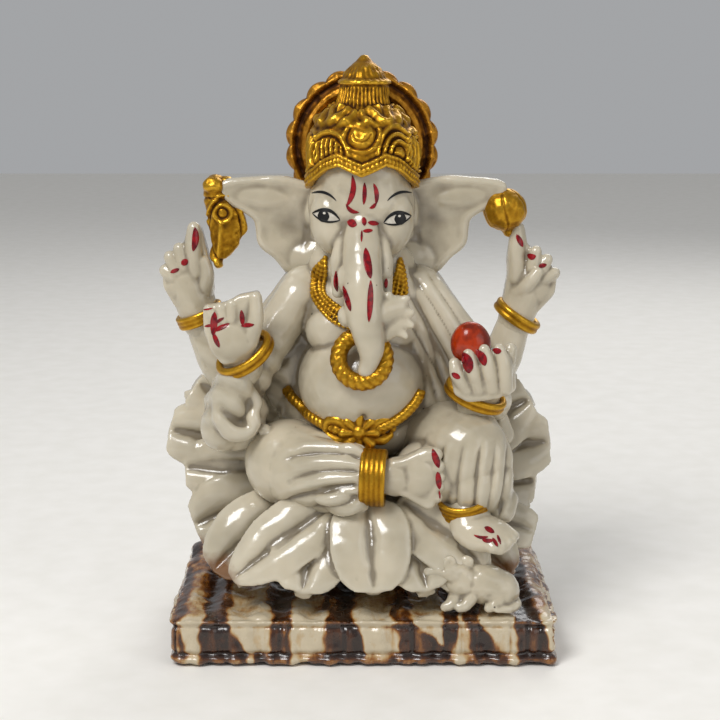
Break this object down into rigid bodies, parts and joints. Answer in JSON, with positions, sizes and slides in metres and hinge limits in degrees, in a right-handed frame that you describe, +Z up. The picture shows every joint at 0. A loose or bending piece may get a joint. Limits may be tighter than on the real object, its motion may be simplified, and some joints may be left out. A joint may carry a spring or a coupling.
{
  "type": "ganesha idol",
  "caption": "Seated four-armed elephant-headed figure on a lotus with a mouse, on a flat rectangular block, in white resin with gold paint.",
  "frame": {"origin": "centre of the block's flat underside", "axes": "+Z up, from the block to the crown; the figure faces -Y; its own right side is at -X"},
  "size_m": [0.0935, 0.055, 0.1339],
  "materials": {
    "white_resin": "glossy cream-white cast resin with stone dust",
    "gold_paint": "metallic gold paint over resin",
    "streaked_resin": "cream resin with brown stain in streaks, glossy",
    "orange_paint": "glossy orange paint over resin"
  },
  "bodies": {
    "root": {"axe": "gold_paint", "base_block": "streaked_resin", "belt": "gold_paint", "belt_buckle": "gold_paint", "crown": "gold_paint", "folded_anklet": "gold_paint", "folded_foot": "white_resin", "folded_leg": "white_resin", "front_petal_1": "white_resin", "front_petal_2": "white_resin", "front_petal_3": "white_resin", "front_petal_4": "white_resin", "front_petal_5": "white_resin", "front_petal_6": "white_resin", "front_petal_7": "white_resin", "halo": "gold_paint", "halo_ring": "gold_paint", "head": "white_resin", "left_ear": "white_resin", "left_petal_1": "white_resin", "left_petal_2": "white_resin", "left_petal_3": "white_resin", "left_petal_4": "white_resin", "left_tusk": "white_resin", "lotus_bud": "gold_paint", "lotus_seat": "white_resin", "lower_left_arm": "white_resin", "lower_left_bangle": "gold_paint", "lower_left_hand": "white_resin", "lower_right_arm": "white_resin", "lower_right_bangle": "gold_paint", "lower_right_hand": "white_resin", "modak": "orange_paint", "mouse": "white_resin", "necklace": "gold_paint", "pendant_ring": "gold_paint", "raised_anklet": "gold_paint", "raised_foot": "white_resin", "raised_leg": "white_resin", "rear_petal_1": "white_resin", "rear_petal_2": "white_resin", "rear_petal_3": "white_resin", "right_ear": "white_resin", "right_petal_1": "white_resin", "right_petal_2": "white_resin", "right_petal_3": "white_resin", "right_petal_4": "white_resin", "right_tusk": "white_resin", "shawl": "white_resin", "torso": "white_resin", "trunk": "white_resin", "trunk_curl": "white_resin", "upper_left_arm": "white_resin", "upper_left_bangle": "gold_paint", "upper_left_hand": "white_resin", "upper_right_arm": "white_resin", "upper_right_bangle": "gold_paint", "upper_right_hand": "white_resin"}
  },
  "joints": []
}
